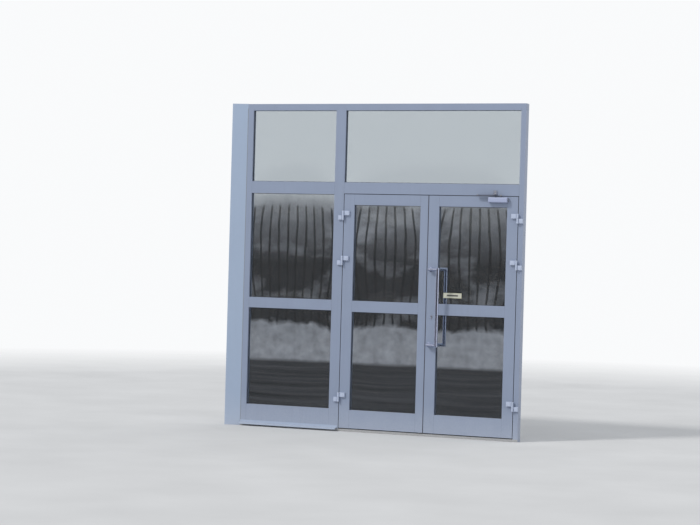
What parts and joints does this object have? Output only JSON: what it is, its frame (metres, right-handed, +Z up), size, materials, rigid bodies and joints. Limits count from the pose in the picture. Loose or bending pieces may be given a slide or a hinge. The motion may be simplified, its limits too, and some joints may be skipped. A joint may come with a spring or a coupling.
{
  "type": "glass entrance door",
  "caption": "Double glazed aluminium entrance door with its frame: two outward leaves on surface hinges, pull handle, door closer, side light and top lights.",
  "frame": {"origin": "underside of the threshold below the middle of the doorway, at the depth of the fixing holes", "axes": "+X to the right seen from outside, +Y into the building, +Z up"},
  "size_m": [2.8175, 0.262, 2.945],
  "materials": {
    "frame_paint": "satin",
    "post_paint": "satin",
    "hinge_paint": "satin",
    "glass": "polished",
    "rubber": "matt",
    "spacer_metal": "satin",
    "bare_metal": "brushed",
    "steel": "brushed",
    "brass": "worn",
    "closer_metal": "satin",
    "film": "matt"
  },
  "bodies": {
    "frame": {"corner_post": "post_paint", "side_light_stile": "frame_paint", "mullion": "frame_paint", "right_jamb": "frame_paint", "head_rail": "frame_paint", "transom_left": "frame_paint", "transom_right": "frame_paint", "side_light_middle_rail": "frame_paint", "side_light_bottom_rail": "frame_paint", "threshold": "bare_metal", "side_light_sill": "post_paint", "stop_profile_left": "frame_paint", "stop_profile_right": "frame_paint", "stop_profile_top": "frame_paint", "top_light_glass_left": "glass", "top_light_glass_right": "glass", "side_light_glass_upper": "glass", "side_light_glass_lower": "glass", "frame_glass_spacers": "spacer_metal", "frame_seals": "rubber", "frame_glazing_beads": "frame_paint", "flush_bolt_keeps": "steel", "hinge_frame_blocks": "hinge_paint", "hinge_pins": "steel", "closer_shoe": "closer_metal"},
    "left_leaf": {"left_hinge_stile": "frame_paint", "left_meeting_stile": "frame_paint", "left_top_rail": "frame_paint", "left_middle_rail": "frame_paint", "left_bottom_rail": "frame_paint", "left_glass_upper": "glass", "left_glass_lower": "glass", "left_glass_spacers": "spacer_metal", "left_seals": "rubber", "left_glazing_beads": "frame_paint", "left_hinge_blocks": "hinge_paint", "strike_and_guides": "steel"},
    "top_bolt": {"top_flush_bolt": "steel"},
    "bottom_bolt": {"bottom_flush_bolt": "steel"},
    "right_leaf": {"right_meeting_stile": "frame_paint", "right_hinge_stile": "frame_paint", "right_top_rail": "frame_paint", "right_middle_rail": "frame_paint", "right_bottom_rail": "frame_paint", "right_glass_upper": "glass", "right_glass_lower": "glass", "right_glass_spacers": "spacer_metal", "right_seals": "rubber", "right_glazing_beads": "frame_paint", "right_hinge_blocks": "hinge_paint", "lock_case": "steel", "lock_cylinder": "brass", "pull_handle_outer": "bare_metal", "pull_handle_inner": "bare_metal", "pane_film": "film", "closer_body": "closer_metal"},
    "key": {"key_plug": "brass"},
    "deadbolt": {"deadbolt": "steel"},
    "closer_arm": {"closer_main_arm": "closer_metal"},
    "closer_forearm": {"closer_forearm": "closer_metal"}
  },
  "joints": [
    {"name": "left_leaf_swing", "type": "hinge", "parent": "frame", "child": "left_leaf", "pos_m": [-0.818, -0.055, 1.1], "axis": [0, 0, -1], "range_deg": [0, 95]},
    {"name": "right_leaf_swing", "type": "hinge", "parent": "frame", "child": "right_leaf", "pos_m": [0.818, -0.055, 1.1], "axis": [0, 0, 1], "range_deg": [0, 95], "stiffness_Nm_per_rad": 8, "springref_deg": -28.65},
    {"name": "closer_spindle_turn", "type": "hinge", "parent": "right_leaf", "child": "closer_arm", "pos_m": [0.665, -0.058, 2.13], "axis": [0, 0, 1], "range_deg": [-95, 0]},
    {"name": "closer_elbow_turn", "type": "hinge", "parent": "closer_arm", "child": "closer_forearm", "pos_m": [0.452, -0.065, 2.13], "axis": [0, 0, 1], "range_deg": [0, 95]},
    {"name": "key_turn", "type": "hinge", "parent": "right_leaf", "child": "key", "pos_m": [0.0445, -0.005, 1.065], "axis": [0, 1, 0], "range_deg": [0, 360]},
    {"name": "deadbolt_slide", "type": "slide", "parent": "right_leaf", "child": "deadbolt", "axis": [-1, 0, 0], "range_m": [0, 0.02]},
    {"name": "top_bolt_slide", "type": "slide", "parent": "left_leaf", "child": "top_bolt", "axis": [0, 0, 1], "range_m": [0, 0.018]},
    {"name": "bottom_bolt_slide", "type": "slide", "parent": "left_leaf", "child": "bottom_bolt", "axis": [0, 0, -1], "range_m": [0, 0.018]}
  ],
  "couplings": [
    {"joint": "closer_spindle_turn", "follows": "right_leaf_swing", "ratio": -1},
    {"joint": "closer_elbow_turn", "follows": "right_leaf_swing", "ratio": 1},
    {"joint": "key_turn", "follows": "deadbolt_slide", "rad_per_m": 314.16}
  ]
}
